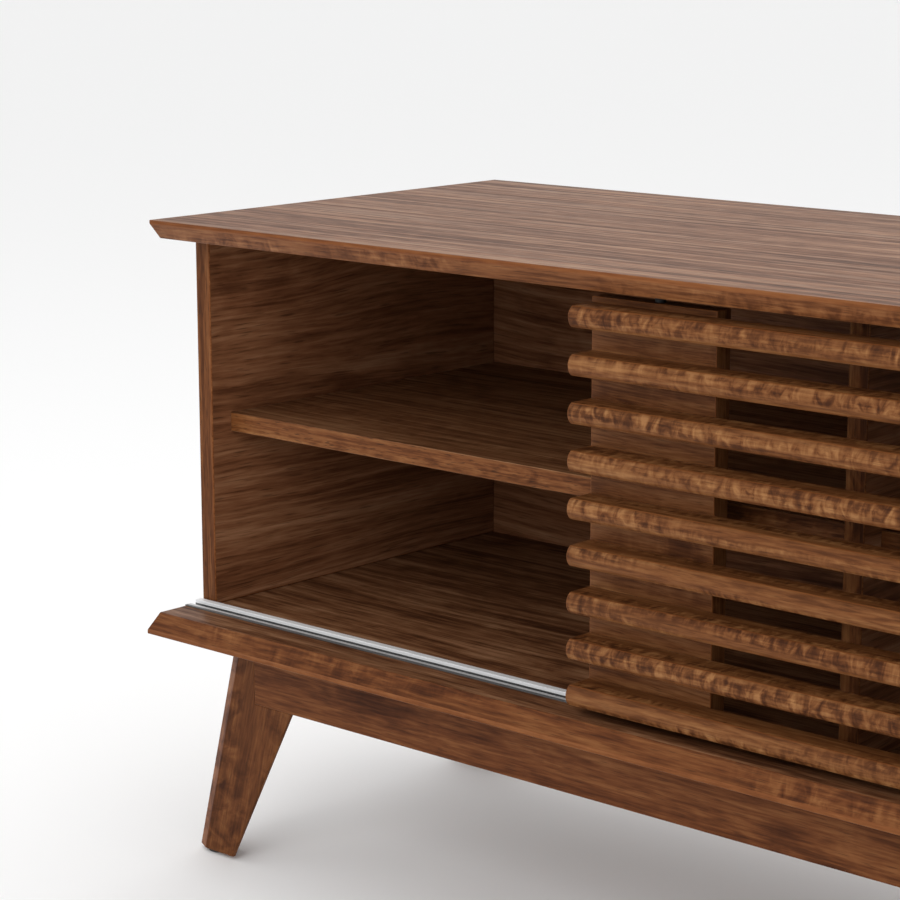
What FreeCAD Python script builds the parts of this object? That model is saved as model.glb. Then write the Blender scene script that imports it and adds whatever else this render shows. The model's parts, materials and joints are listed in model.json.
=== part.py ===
import FreeCAD, Part
import os
import re
import Sketcher
from FreeCAD import Rotation, Vector

# Media cabinet with one sliding slatted door, in millimetres.
# +X is the cabinet's length, -Y its front, +Z up; the origin is on the floor under its middle.

doc = FreeCAD.newDocument("MediaCabinet")
sheet = doc.addObject("Spreadsheet::Sheet", "Sizes")

driving_sizes = {
    # case boards, from the floor up
    "leg_height": 187,          # floor to the underside of the bottom panel
    "bottom_thick": 17,
    "case_height": 290,         # bottom panel to top panel
    "top_thick": 14,
    "board_thick": 15,          # sides, divider, shelves and door stiles
    "case_half": 604.5,         # middle to a side's outer face, where both bevels start
    "case_front": -150.5,
    "case_back": 197.5,
    "panel_back": 202.5,        # rear edge of the top and bottom panels
    "top_front": -191.5,
    "top_lip": 3,
    "top_bevel": 5.5,
    "bottom_front": -202.5,
    "bottom_lip": 3.5,
    "bottom_bevel": 7,
    "shelf_front": -131,
    "shelf_rise": 135.5,        # bottom panel to the shelf's underside
    # back panels and their cable holes
    "back_face": 179,
    "back_thick": 4,
    "groove_deep": 4,
    "slip": 0.2,                # play between a panel's edge and its groove
    "cable_hole": 30,
    "cable_hole_place": 118,    # from the cabinet's middle
    "grommet_rim": 36,
    "grommet_wall": 2,
    "grommet_lip": 1.5,
    "grommet_tail": 1,
    # door
    "door_half": 198,
    "door_low": 211,
    "door_high": 487.5,
    "door_plane": -161,
    "stile_wide": 102.7,
    "slat_tall": 14.4,
    "slat_pitch": 32.25,
    "slat_deep": 21,
    "slat_crown": 4,
    "door_travel": 400,
    # tracks and rollers
    "track_wall": 1,
    "groove_wide": 5,
    "groove_floor": 3,          # running surface below the bottom panel's top face
    "flange_wide": 5,
    "rib_wide": 6,
    "rib_tall": 3,
    "channel_wide": 10,
    "channel_deep": 7,
    "channel_half": 596,
    "stop_long": 15,
    "stop_play": 0.5,
    "roller_rad": 10.7,
    "roller_wide": 4,
    "roller_gap": 0.3,
    "hub_rad": 4.2,
    "rim_rad": 8.35,            # inner edge of a roller's rim
    "web_deep": 0.5,
    "axle_rad": 2,
    "running_fit": 0.05,
    "housing_long": 34,
    "housing_wide": 9,
    "housing_tall": 22,
    "housing_drop": 3.5,
    "wheel_room": 0.8,          # round a roller in its housing, and at its sides
    "wheel_side_room": 0.4,
    "guide_rad": 3.6,
    "guide_length": 29.5,
    "guide_rise": 5,            # into the upper track
    # legs and their frame
    "frame_front": -158.5,
    "frame_back": 171.5,
    "leg_thick": 24,
    "leg_top_out": 563.5,
    "leg_foot_out": 610.5,
    "leg_foot_in": 567.5,
    "leg_shoulder": 499,
    "apron_half": 539,
    "apron_tall": 52.5,
    "apron_thick": 20,
    "rail_low": 142,
    "edge_face": 11,            # the legs' outer bevel, along the front and along the side
    "edge_side": 6,
    "undercut": 21,             # bevel behind a leg's inner edge, which makes it look thin from the front
    "block_size": 34,
    "glide_tall": 3,
    "glide_rad": 9,
    "glide_inset": 15.5,        # from a foot's outer edge
    "nail_rad": 1.25,
    "nail_long": 14,
    # fasteners
    "dowel_rad": 4,
    "dowel_deep": 12,
    "dowel_up": 8,              # into the top panel
    "dowel_down": 20,           # into an upright's upper end
    "dowel_cross": 10,          # into a leg's inner face
    "dowel_play": 0.5,
    "apron_dowel_low": 16,      # above an apron's lower edge
    "apron_dowel_high": 38,
    "rail_dowel_rise": 27,
    "screw_rad": 1.75,
    "screw_head": 3.6,
    "head_tall": 2.4,
    "slat_screw": 28,
    "slat_screw_inset": 30,     # from a stile's middle towards the door's middle
    "head_sunk": 0.2,
    "recess_rad": 1.2,
    "recess_deep": 1.2,
    "block_screw_in": 11,       # into the bottom panel
    "case_screw_rad": 3,
    "case_screw_head": 5,
    "case_screw_long": 48,
    "bore_play": 0.05,
    "tip_room": 1,              # past a screw's tip
}

for row, (name, size) in enumerate(driving_sizes.items(), start=1):
    sheet.set(f"A{row}", name)
    sheet.set(f"B{row}", str(size))
    sheet.setAlias(f"B{row}", name)
doc.recompute()

# Levels and planes worked out from the driving sizes, as formulas of the sheet's names.
deck = "(leg_height + bottom_thick)"
lid = f"({deck} + case_height)"
crown = f"({lid} + top_thick)"
side_inner = "(case_half - board_thick)"
divider_half = "(board_thick / 2)"
shelf_low = f"({deck} + shelf_rise)"
shelf_high = f"({shelf_low} + board_thick)"
groove_back = "(back_face + back_thick + slip)"
stile_front = "(door_plane - board_thick / 2)"
stile_back = "(door_plane + board_thick / 2)"
stile_middle = "(door_half - stile_wide / 2)"
slat_face = f"({stile_front} - slat_deep)"
slat_screw_x = f"({stile_middle} - slat_screw_inset)"
guide_top = f"({lid} + guide_rise)"
groove_floor_z = f"({deck} - groove_floor)"
roller_z = f"({groove_floor_z} + roller_gap + roller_rad)"
apron_low = "(leg_height - apron_tall)"
slat_count = 9


def cells(formula):
    """Put the sheet's name before each of its aliases in a formula."""
    return re.sub(r"[a-z][a-z_]*", lambda match: "Sizes." + match.group(), str(formula))


def value(formula):
    return float(sheet.evalExpression(cells(formula)))


def new_body(label):
    body = doc.addObject("PartDesign::Body", label)
    body.Label = label
    return body


def new_sketch(body, plane, level):
    """Lay a sketch on one of the body's own planes, moved to a level along the plane's axis."""
    sketch = body.newObject("Sketcher::SketchObject", body.Label + "_sketch")
    origin_plane = [part for part in body.Origin.OriginFeatures if part.Role == plane + "_Plane"][0]
    sketch.AttachmentSupport = [(origin_plane, "")]
    sketch.MapMode = "FlatFace"
    towards = "-" if plane == "XZ" else ""
    sketch.setExpression("AttachmentOffset.Base.z", f"{towards}({cells(level)}) * 1mm")
    return sketch


def fix_point(sketch, geometry, position, across, along):
    for kind, axis, formula in (("DistanceX", -2, across), ("DistanceY", -1, along)):
        distance = value(formula)
        if abs(distance) < 1e-9:
            sketch.addConstraint(Sketcher.Constraint("PointOnObject", geometry, position, axis))
        else:
            index = sketch.addConstraint(Sketcher.Constraint(kind, -1, 1, geometry, position, distance))
            sketch.setExpression(f"Constraints[{index}]", cells(formula))


def draw_outline(sketch, corners, bulge=None):
    """Draw a closed outline; the edge that starts at corner number bulge[0] is an arc through bulge[1]."""
    places = [Vector(value(across), value(along), 0) for across, along in corners]
    for index, start in enumerate(places):
        end = places[(index + 1) % len(places)]
        if bulge and bulge[0] == index:
            through = Vector(value(bulge[1][0]), value(bulge[1][1]), 0)
            sketch.addGeometry(Part.Arc(start, through, end), False)
        else:
            sketch.addGeometry(Part.LineSegment(start, end), False)
    arc_flips = False
    if bulge:
        arc_start = sketch.getPoint(bulge[0], 1)
        arc_flips = arc_start.distanceToPoint(places[bulge[0]]) > 1e-6
    ends = {}
    for index in range(len(places)):
        flipped = arc_flips and index == bulge[0]
        ends[index] = (2, 1) if flipped else (1, 2)
    for index in range(len(places)):
        following = (index + 1) % len(places)
        sketch.addConstraint(
            Sketcher.Constraint("Coincident", index, ends[index][1], following, ends[following][0]))
    for index, (across, along) in enumerate(corners):
        fix_point(sketch, index, ends[index][0], across, along)
    if bulge:
        apex = sketch.addGeometry(Part.Point(Vector(value(bulge[1][0]), value(bulge[1][1]), 0)), True)
        sketch.addConstraint(Sketcher.Constraint("PointOnObject", apex, 1, bulge[0]))
        fix_point(sketch, apex, 1, bulge[1][0], bulge[1][1])


def draw_circles(sketch, centres, radius):
    for across, along in centres:
        centre = Vector(value(across), value(along), 0)
        circle = sketch.addGeometry(Part.Circle(centre, Vector(0, 0, 1), value(radius)), False)
        fix_point(sketch, circle, 3, across, along)
        size = sketch.addConstraint(Sketcher.Constraint("Radius", circle, value(radius)))
        sketch.setExpression(f"Constraints[{size}]", cells(radius))


def rectangle(across_low, across_high, along_low, along_high):
    return [(across_low, along_low), (across_high, along_low),
            (across_high, along_high), (across_low, along_high)]


def extrude(body, sketch, kind, plane, low, high):
    """Pad or pocket a sketch from one level to a higher one along its plane's axis."""
    feature = body.newObject("PartDesign::" + kind, body.Label + "_" + kind.lower())
    feature.Profile = sketch
    feature.setExpression("Length", cells(f"({high}) - ({low})"))
    faces_up = plane != "XZ"
    feature.Reversed = not faces_up if kind == "Pad" else faces_up
    return feature


def pad(body, plane, corners, low, high, bulge=None):
    sketch = new_sketch(body, plane, low)
    draw_outline(sketch, corners, bulge)
    return extrude(body, sketch, "Pad", plane, low, high)


def pocket(body, plane, corners, low, high):
    sketch = new_sketch(body, plane, low)
    draw_outline(sketch, corners)
    return extrude(body, sketch, "Pocket", plane, low, high)


def pad_rounds(body, plane, centres, radius, low, high):
    sketch = new_sketch(body, plane, low)
    draw_circles(sketch, centres, radius)
    return extrude(body, sketch, "Pad", plane, low, high)


def drill(body, plane, centres, radius, low, high):
    sketch = new_sketch(body, plane, low)
    draw_circles(sketch, centres, radius)
    return extrude(body, sketch, "Pocket", plane, low, high)


def both_sides(sizes):
    """Each size on the left and on the right of the middle."""
    return [f"-({size})" for size in sizes] + list(sizes)


# Fastener places, shared by the boards that hold them and by the fasteners themselves.
upright_middles = both_sides(["case_half - board_thick / 2"]) + ["0"]
dowel_rows = ("-115", "25", "160")
screw_rows = ("-85", "55", "150")
shelf_dowel_rows = ("-95", "135")
upright_dowels = [(across, along) for across in upright_middles for along in dowel_rows]
upright_screws = [(across, along) for across in upright_middles for along in screw_rows]
shelf_dowel_places = [(along, f"{shelf_low} + board_thick / 2") for along in shelf_dowel_rows]
cable_holes = [f"{deck} + shelf_rise / 2", f"({shelf_high} + {lid}) / 2"]
block_screws = [(f"{side}(apron_half - block_size / 3)", along)
                for side in ("-", "")
                for along in ("frame_front + apron_thick + block_size / 3",
                              "frame_back - apron_thick - block_size / 3")]
apron_dowel_heights = [f"{apron_low} + apron_dowel_low", f"{apron_low} + apron_dowel_high"]
rail_dowel_height = f"{apron_low} + rail_dowel_rise"
rail_middle = "(apron_half + apron_thick / 2)"
glide_middle = "(leg_foot_out - glide_inset)"
slat_heights = [f"(door_low + {number} * slat_pitch)" for number in reversed(range(slat_count))]


def make_bottom_panel():
    body = new_body("bottom_panel")
    bevel_face = "(bottom_front + bottom_bevel)"
    slot_front = "(door_plane - groove_wide / 2 - track_wall)"
    slot_back = "(door_plane + groove_wide / 2 + track_wall)"
    slot_floor = f"({groove_floor_z} - track_wall)"
    profile = [
        ("bottom_front", "leg_height"), ("panel_back", "leg_height"), ("panel_back", deck),
        (slot_back, deck), (slot_back, slot_floor), (slot_front, slot_floor), (slot_front, deck),
        (bevel_face, deck), ("bottom_front", "leg_height + bottom_lip"),
    ]
    end = "(case_half + bottom_bevel)"
    pad(body, "YZ", profile, f"-{end}", end)
    for side in ("-", ""):
        bevel = [(side + end, "leg_height + bottom_lip"), (side + end, deck), (side + "case_half", deck)]
        pocket(body, "XZ", bevel, "bottom_front - 1", "panel_back + 1")
    groove_end = f"({side_inner} + groove_deep)"
    pocket(body, "XY", rectangle(f"-{groove_end}", groove_end, "back_face", groove_back),
           f"{deck} - groove_deep", deck)
    drill(body, "XY", upright_screws, "case_screw_rad + bore_play", "leg_height", deck)
    drill(body, "XY", upright_screws, "case_screw_head + bore_play", "leg_height", "leg_height + head_tall")
    drill(body, "XY", block_screws, "screw_rad + bore_play", "leg_height",
          "leg_height + block_screw_in + tip_room")


def make_top_panel():
    body = new_body("top_panel")
    profile = [
        ("top_front + top_bevel", lid), ("panel_back", lid), ("panel_back", crown),
        ("top_front", crown), ("top_front", f"{crown} - top_lip"),
    ]
    end = "(case_half + top_bevel)"
    pad(body, "YZ", profile, f"-{end}", end)
    for side in ("-", ""):
        bevel = [(side + end, f"{crown} - top_lip"), (side + end, lid), (side + "case_half", lid)]
        pocket(body, "XZ", bevel, "top_front - 1", "panel_back + 1")
    pocket(body, "XY", rectangle("-channel_half", "channel_half", "door_plane - channel_wide / 2",
                                 "door_plane + channel_wide / 2"), lid, f"{lid} + channel_deep")
    groove_end = f"({side_inner} + groove_deep)"
    pocket(body, "XY", rectangle(f"-{groove_end}", groove_end, "back_face", groove_back),
           lid, f"{lid} + groove_deep")
    drill(body, "XY", upright_dowels, "dowel_rad", lid, f"{lid} + dowel_up")


def drill_upright(body, middle):
    """Holes in an upright's two ends for the top dowels and the screws from below."""
    dowels = [place for place in upright_dowels if place[0] == middle]
    screws = [place for place in upright_screws if place[0] == middle]
    drill(body, "XY", dowels, "dowel_rad", f"{lid} - dowel_down", lid)
    screw_tip = "(leg_height + case_screw_long)"
    drill(body, "XY", screws, "case_screw_rad + bore_play", deck, f"{screw_tip} + tip_room")


def make_side(label, side):
    body = new_body(label)
    outer = side + "case_half"
    inner = side + side_inner
    groove = f"{side}({side_inner} + groove_deep)"
    outline = [
        (outer, "case_front"), (inner, "case_front"), (inner, "back_face"), (groove, "back_face"),
        (groove, groove_back), (inner, groove_back), (inner, "case_back"), (outer, "case_back"),
    ]
    pad(body, "XY", outline, deck, lid)
    drill_upright(body, f"{side}(case_half - board_thick / 2)" if side else "case_half - board_thick / 2")
    far = f"({side_inner} + dowel_deep)"
    levels = (f"-{far}", f"-{side_inner}") if side else (side_inner, far)
    drill(body, "YZ", shelf_dowel_places, "dowel_rad", *levels)


def make_divider():
    body = new_body("centre_divider")
    groove = f"({divider_half} - groove_deep)"
    right_half = [(divider_half, "case_front"), (divider_half, "back_face"), (groove, "back_face"),
                  (groove, groove_back), (divider_half, groove_back), (divider_half, "case_back")]
    left_half = [("-" + across, along) for across, along in reversed(right_half)]
    pad(body, "XY", right_half + left_half, deck, lid)
    drill_upright(body, "0")
    drill(body, "YZ", shelf_dowel_places, "dowel_rad", f"-{divider_half}", divider_half)


def make_shelf(label, side):
    body = new_body(label)
    ends = (f"-{side_inner}", f"-{divider_half}") if side else (divider_half, side_inner)
    pad(body, "XY", rectangle(*ends, "shelf_front", "back_face - slip"), shelf_low, shelf_high)
    drill(body, "YZ", shelf_dowel_places, "dowel_rad", ends[0], f"{ends[0]} + dowel_deep")
    drill(body, "YZ", shelf_dowel_places, "dowel_rad", f"{ends[1]} - dowel_deep", ends[1])


def make_back_panel(label, side):
    body = new_body(label)
    outer = f"({side_inner} + groove_deep - slip)"
    inner = f"({divider_half} - groove_deep + slip)"
    ends = (f"-{outer}", f"-{inner}") if side else (inner, outer)
    low = f"({deck} - groove_deep + slip)"
    high = f"({lid} + groove_deep - slip)"
    front = "(back_face + slip / 2)"
    back = f"({front} + back_thick)"
    pad(body, "XZ", rectangle(*ends, low, high), front, back)
    holes = [(side + "cable_hole_place", height) for height in cable_holes]
    drill(body, "XZ", holes, "cable_hole + grommet_wall", front, back)


def make_grommets():
    body = new_body("cable_grommets")
    places = [(side + "cable_hole_place", height) for side in ("-", "") for height in cable_holes]
    front = "(back_face + slip / 2)"
    back = f"({front} + back_thick)"
    lip = f"{front} - grommet_lip"
    tail = f"{back} + grommet_tail"
    pad_rounds(body, "XZ", places, "grommet_rim", lip, front)
    pad_rounds(body, "XZ", places, "cable_hole + grommet_wall", front, tail)
    drill(body, "XZ", places, "cable_hole", lip, tail)


def make_lower_track():
    body = new_body("lower_track")
    wall_front = "(door_plane - groove_wide / 2)"
    wall_back = "(door_plane + groove_wide / 2)"
    flange_edge = f"({wall_front} - track_wall - flange_wide)"
    rib_edge = f"({wall_back} + rib_wide)"
    floor = groove_floor_z
    profile = [
        (flange_edge, deck), (f"{wall_front} - track_wall", deck),
        (f"{wall_front} - track_wall", f"{floor} - track_wall"),
        (f"{wall_back} + track_wall", f"{floor} - track_wall"), (f"{wall_back} + track_wall", deck),
        (rib_edge, deck), (rib_edge, f"{deck} + rib_tall"), (wall_back, f"{deck} + rib_tall"),
        (wall_back, floor), (wall_front, floor), (wall_front, f"{deck} + track_wall"),
        (flange_edge, f"{deck} + track_wall"),
    ]
    pad(body, "YZ", profile, "-case_half", "case_half")


def make_upper_track():
    body = new_body("upper_track")
    front = "(door_plane - channel_wide / 2)"
    back = "(door_plane + channel_wide / 2)"
    roof = f"({lid} + channel_deep)"
    profile = [
        (front, lid), (f"{front} + track_wall", lid), (f"{front} + track_wall", f"{roof} - track_wall"),
        (f"{back} - track_wall", f"{roof} - track_wall"), (f"{back} - track_wall", lid),
        (back, lid), (back, roof), (front, roof),
    ]
    pad(body, "YZ", profile, "-channel_half", "channel_half")


def make_track_stops():
    body = new_body("upper_track_stops")
    front = "(door_plane - channel_wide / 2 + track_wall)"
    back = "(door_plane + channel_wide / 2 - track_wall)"
    near = f"({stile_middle} + door_travel + guide_rad + stop_play)"
    far = f"({near} + stop_long)"
    for ends in ((f"-{far}", f"-{near}"), (near, far)):
        pad(body, "XY", rectangle(*ends, front, back), f"{lid} + stop_play",
            f"{lid} + channel_deep - track_wall")


def make_stile(label, side):
    body = new_body(label)
    inner = "(door_half - stile_wide)"
    ends = ("-door_half", f"-{inner}") if side else (inner, "door_half")
    pad(body, "XY", rectangle(*ends, stile_front, stile_back), "door_low", "door_high")
    middle = side + stile_middle
    pocket(body, "XY", rectangle(f"{middle} - housing_long / 2", f"{middle} + housing_long / 2",
                                 "door_plane - housing_wide / 2", "door_plane + housing_wide / 2"),
           "door_low", "door_low + housing_tall")
    drill(body, "XY", [(middle, "door_plane")], "guide_rad", f"{guide_top} - guide_length", "door_high")
    places = [(side + slat_screw_x, f"{height} + slat_tall / 2") for height in slat_heights]
    drill(body, "XZ", places, "screw_rad + bore_play", stile_front, stile_back)
    drill(body, "XZ", places, "screw_head + bore_play", f"{stile_back} - head_tall", stile_back)


def make_slat(number, low):
    body = new_body(f"slat_{number}")
    high = f"({low} + slat_tall)"
    profile = [(stile_front, low), (slat_face, low), (slat_face, high), (stile_front, high)]
    apex = (f"{slat_face} - slat_crown", f"{low} + slat_tall / 2")
    pad(body, "YZ", profile, "-door_half", "door_half", bulge=(1, apex))
    places = [(side + slat_screw_x, f"{low} + slat_tall / 2") for side in ("-", "")]
    drill(body, "XZ", places, "screw_rad + bore_play", f"{stile_back} - slat_screw - head_sunk",
          stile_front)


def make_slat_screws():
    body = new_body("slat_screws")
    places = [(side + slat_screw_x, f"{low} + slat_tall / 2")
              for side in ("-", "") for low in slat_heights]
    head_low = f"({stile_back} - head_tall)"
    head_high = f"({stile_back} - head_sunk)"
    pad_rounds(body, "XZ", places, "screw_rad", f"{stile_back} - slat_screw", head_low)
    pad_rounds(body, "XZ", places, "screw_head", head_low, head_high)
    drill(body, "XZ", places, "recess_rad", f"{head_high} - recess_deep", head_high)


def make_guide_pins():
    body = new_body("door_guide_pins")
    places = [(side + stile_middle, "door_plane") for side in ("-", "")]
    pad_rounds(body, "XY", places, "guide_rad", f"{guide_top} - guide_length", guide_top)


def make_roller(label, side):
    middle = side + stile_middle
    centre = [(middle, roller_z)]

    housing = new_body(label + "_housing")
    low = "(door_low - housing_drop)"
    high = "(door_low + housing_tall)"
    front = "(door_plane - housing_wide / 2)"
    back = "(door_plane + housing_wide / 2)"
    outline = rectangle(f"{middle} - housing_long / 2", f"{middle} + housing_long / 2", low, high)
    pad(housing, "XZ", outline, front, back)
    arch = "(roller_rad + wheel_room)"
    slot = rectangle(f"{middle} - {arch}", f"{middle} + {arch}", f"{low} - 1", f"{roller_z} + {arch}")
    pocket(housing, "XZ", slot, "door_plane - roller_wide / 2 - wheel_side_room",
           "door_plane + roller_wide / 2 + wheel_side_room")
    drill(housing, "XZ", centre, "axle_rad", front, back)

    axle = new_body(label + "_axle")
    pad_rounds(axle, "XZ", centre, "axle_rad", front, back)

    wheel = new_body(label)
    rim_low = "(door_plane - roller_wide / 2)"
    rim_high = "(door_plane + roller_wide / 2)"
    pad_rounds(wheel, "XZ", centre, "roller_rad", rim_low, rim_high)
    for low_face, high_face in ((rim_low, f"{rim_low} + web_deep"), (f"{rim_high} - web_deep", rim_high)):
        sketch = new_sketch(wheel, "XZ", low_face)
        draw_circles(sketch, centre, "rim_rad")
        draw_circles(sketch, centre, "hub_rad")
        extrude(wheel, sketch, "Pocket", "XZ", low_face, high_face)
    drill(wheel, "XZ", centre, "axle_rad + running_fit", rim_low, rim_high)


def make_apron(label, low, high, cut_level):
    body = new_body(label)
    pad(body, "XY", rectangle("-apron_half", "apron_half", low, high), apron_low, "leg_height")
    places = [(cut_level, height) for height in apron_dowel_heights]
    drill(body, "YZ", places, "dowel_rad", "-apron_half", "-(apron_half - dowel_deep)")
    drill(body, "YZ", places, "dowel_rad", "apron_half - dowel_deep", "apron_half")


def make_rail(label, side):
    body = new_body(label)
    outer = "(apron_half + apron_thick)"
    ends = (f"-{outer}", "-apron_half") if side else ("apron_half", outer)
    low = "(frame_front + leg_thick)"
    high = "(frame_back - leg_thick)"
    pad(body, "XY", rectangle(*ends, low, high), apron_low, "leg_height")
    places = [(side + rail_middle, rail_dowel_height)]
    drill(body, "XZ", places, "dowel_rad", low, f"{low} + dowel_deep")
    drill(body, "XZ", places, "dowel_rad", f"{high} - dowel_deep", high)


def make_cross_rail():
    body = new_body("cross_rail")
    pad(body, "XY", rectangle("-apron_thick / 2", "apron_thick / 2", "frame_front + apron_thick",
                              "frame_back - apron_thick"), "rail_low", "leg_height")


def make_leg(label, side, face, inward):
    """A splayed leg: its neck beside the apron, its shoulder under it; inward is +1 on a front leg."""
    body = new_body(label)
    foot = "glide_tall"
    outline = [
        (side + "leg_top_out", "leg_height"), (side + "leg_foot_out", foot), (side + "leg_foot_in", foot),
        (side + "leg_shoulder", apron_low), (side + "apron_half", apron_low),
        (side + "apron_half", "leg_height"),
    ]
    levels = (face, f"{face} + leg_thick") if inward > 0 else (f"{face} - leg_thick", face)
    blank = pad(body, "XZ", outline, *levels)
    doc.recompute()
    outer_edges = []
    for index, edge in enumerate(blank.Shape.Edges, start=1):
        ends = [vertex.Point for vertex in edge.Vertexes]
        along_side = {round(abs(point.x), 3) for point in ends} == {
            round(value("leg_top_out"), 3), round(value("leg_foot_out"), 3)}
        if along_side and all(abs(point.y - value(face)) < 0.001 for point in ends):
            outer_edges.append(f"Edge{index}")
    bevel = body.newObject("PartDesign::Chamfer", label + "_bevel")
    bevel.Base = (blank, outer_edges)
    bevel.ChamferType = "Two distances"
    bevel.setExpression("Size", cells("edge_face"))
    bevel.setExpression("Size2", cells("edge_side"))
    doc.recompute()
    front_width = max(face_part.BoundBox.XLength for face_part in body.Shape.Faces
                      if abs(face_part.BoundBox.YMin - value(face)) < 0.001
                      and face_part.BoundBox.YLength < 0.001)
    bevel.FlipDirection = front_width > value("leg_foot_out - leg_shoulder - edge_face + 1")
    doc.recompute()
    inner_plane = value(face) + inward * value("leg_thick")
    rear_edges = []
    for index, edge in enumerate(body.Shape.Edges, start=1):
        ends = [vertex.Point for vertex in edge.Vertexes]
        along_inside = {round(abs(point.x), 3) for point in ends} == {
            round(value("leg_shoulder"), 3), round(value("leg_foot_in"), 3)}
        if along_inside and all(abs(point.y - inner_plane) < 0.001 for point in ends):
            rear_edges.append(f"Edge{index}")
    undercut = body.newObject("PartDesign::Chamfer", label + "_undercut")
    undercut.Base = (bevel, rear_edges)
    undercut.setExpression("Size", cells("undercut"))
    neck_low, neck_high = "apron_half", "(apron_half + dowel_deep)"
    neck = (f"-{neck_high}", f"-{neck_low}") if side else (neck_low, neck_high)
    apron_middle = f"{face} + {inward} * apron_thick / 2"
    drill(body, "YZ", [(apron_middle, height) for height in apron_dowel_heights], "dowel_rad", *neck)
    inner_face = f"({face} + {inward} * leg_thick)"
    depth = (f"{inner_face} - dowel_cross", inner_face) if inward > 0 else (
        inner_face, f"{inner_face} + dowel_cross")
    drill(body, "XZ", [(side + rail_middle, rail_dowel_height)], "dowel_rad", *depth)
    foot_middle = f"{face} + {inward} * leg_thick / 2"
    drill(body, "XY", [(side + glide_middle, foot_middle)], "nail_rad + bore_play", foot,
          f"{foot} + nail_long")


def make_corner_block(label, side, corner, inward):
    body = new_body(label)
    outline = [
        (side + "apron_half", corner), (f"{side}(apron_half - block_size)", corner),
        (side + "apron_half", f"{corner} + {inward} * block_size"),
    ]
    pad(body, "XY", outline, "rail_low", "leg_height")
    place = [screw for screw in block_screws
             if value(screw[0]) * value(outline[0][0]) > 0 and value(screw[1]) * value(corner) > 0]
    drill(body, "XY", place, "screw_rad + bore_play", "rail_low", "leg_height")


def make_base_screws():
    body = new_body("base_screws")
    pad_rounds(body, "XY", block_screws, "screw_head", "rail_low - head_tall", "rail_low")
    pad_rounds(body, "XY", block_screws, "screw_rad", "rail_low", "leg_height + block_screw_in")
    head_low = "(rail_low - head_tall)"
    drill(body, "XY", block_screws, "recess_rad", head_low, f"{head_low} + recess_deep")


def make_case_screws():
    body = new_body("case_screws")
    head_low = "(leg_height + head_sunk)"
    head_high = "(leg_height + head_tall)"
    pad_rounds(body, "XY", upright_screws, "case_screw_head", head_low, head_high)
    pad_rounds(body, "XY", upright_screws, "case_screw_rad", head_high, "leg_height + case_screw_long")
    drill(body, "XY", upright_screws, "recess_rad", head_low, f"{head_low} + recess_deep")


def make_dowels():
    top = new_body("top_dowels")
    pad_rounds(top, "XY", upright_dowels, "dowel_rad", f"{lid} - dowel_down + dowel_play",
               f"{lid} + dowel_up - dowel_play")

    shelf = new_body("shelf_dowels")
    inner_end = f"({side_inner} - dowel_deep + dowel_play)"
    outer_end = f"({side_inner} + dowel_deep - dowel_play)"
    middle_end = f"({divider_half} + dowel_deep - dowel_play)"
    for ends in ((f"-{outer_end}", f"-{inner_end}"), (f"-{middle_end}", middle_end), (inner_end, outer_end)):
        pad_rounds(shelf, "YZ", shelf_dowel_places, "dowel_rad", *ends)

    base = new_body("base_dowels")
    apron_middles = ("frame_front + apron_thick / 2", "frame_back - apron_thick / 2")
    places = [(middle, height) for middle in apron_middles for height in apron_dowel_heights]
    near = "(apron_half - dowel_deep + dowel_play)"
    far = "(apron_half + dowel_deep - dowel_play)"
    for ends in ((f"-{far}", f"-{near}"), (near, far)):
        pad_rounds(base, "YZ", places, "dowel_rad", *ends)
    rail_places = [(side + rail_middle, rail_dowel_height) for side in ("-", "")]
    front_joint = "(frame_front + leg_thick)"
    back_joint = "(frame_back - leg_thick)"
    in_leg = "(dowel_cross - dowel_play)"
    in_rail = "(dowel_deep - dowel_play)"
    for low, high in ((f"{front_joint} - {in_leg}", f"{front_joint} + {in_rail}"),
                      (f"{back_joint} - {in_rail}", f"{back_joint} + {in_leg}")):
        pad_rounds(base, "XZ", rail_places, "dowel_rad", low, high)


def make_glides():
    body = new_body("foot_glides")
    places = [(side + glide_middle, middle)
              for side in ("-", "")
              for middle in ("frame_front + leg_thick / 2", "frame_back - leg_thick / 2")]
    pad_rounds(body, "XY", places, "glide_rad", "0", "glide_tall")
    pad_rounds(body, "XY", places, "nail_rad", "glide_tall", "glide_tall + nail_long - dowel_play")


make_top_panel()
make_bottom_panel()
make_side("left_side", "-")
make_side("right_side", "")
make_divider()
make_shelf("left_shelf", "-")
make_shelf("right_shelf", "")
make_back_panel("left_back_panel", "-")
make_back_panel("right_back_panel", "")
make_grommets()
make_lower_track()
make_upper_track()
make_track_stops()
make_stile("door_left_stile", "-")
make_stile("door_right_stile", "")
for slat_number, slat_low in enumerate(slat_heights, start=1):
    make_slat(slat_number, slat_low)
make_slat_screws()
make_guide_pins()
make_roller("left_roller", "-")
make_roller("right_roller", "")
make_apron("front_apron", "frame_front", "frame_front + apron_thick", "frame_front + apron_thick / 2")
make_apron("rear_apron", "frame_back - apron_thick", "frame_back", "frame_back - apron_thick / 2")
make_rail("left_rail", "-")
make_rail("right_rail", "")
make_cross_rail()
for end_name, end_sign in (("left", "-"), ("right", "")):
    make_leg(f"front_{end_name}_leg", end_sign, "frame_front", 1)
    make_leg(f"rear_{end_name}_leg", end_sign, "frame_back", -1)
    make_corner_block(f"front_{end_name}_block", end_sign, "frame_front + apron_thick", 1)
    make_corner_block(f"rear_{end_name}_block", end_sign, "frame_back - apron_thick", -1)
make_glides()
make_dowels()
make_case_screws()
make_base_screws()

doc.recompute()

bodies = [item for item in doc.Objects if item.TypeId == "PartDesign::Body"]
for item in doc.Objects:
    if "Invalid" in item.State or "Error" in item.State:
        raise RuntimeError(f"{item.Label} failed: {item.State}")
for body in bodies:
    if body.Shape.isNull() or not body.Shape.isValid():
        raise RuntimeError(f"{body.Label} has no valid shape")

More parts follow.
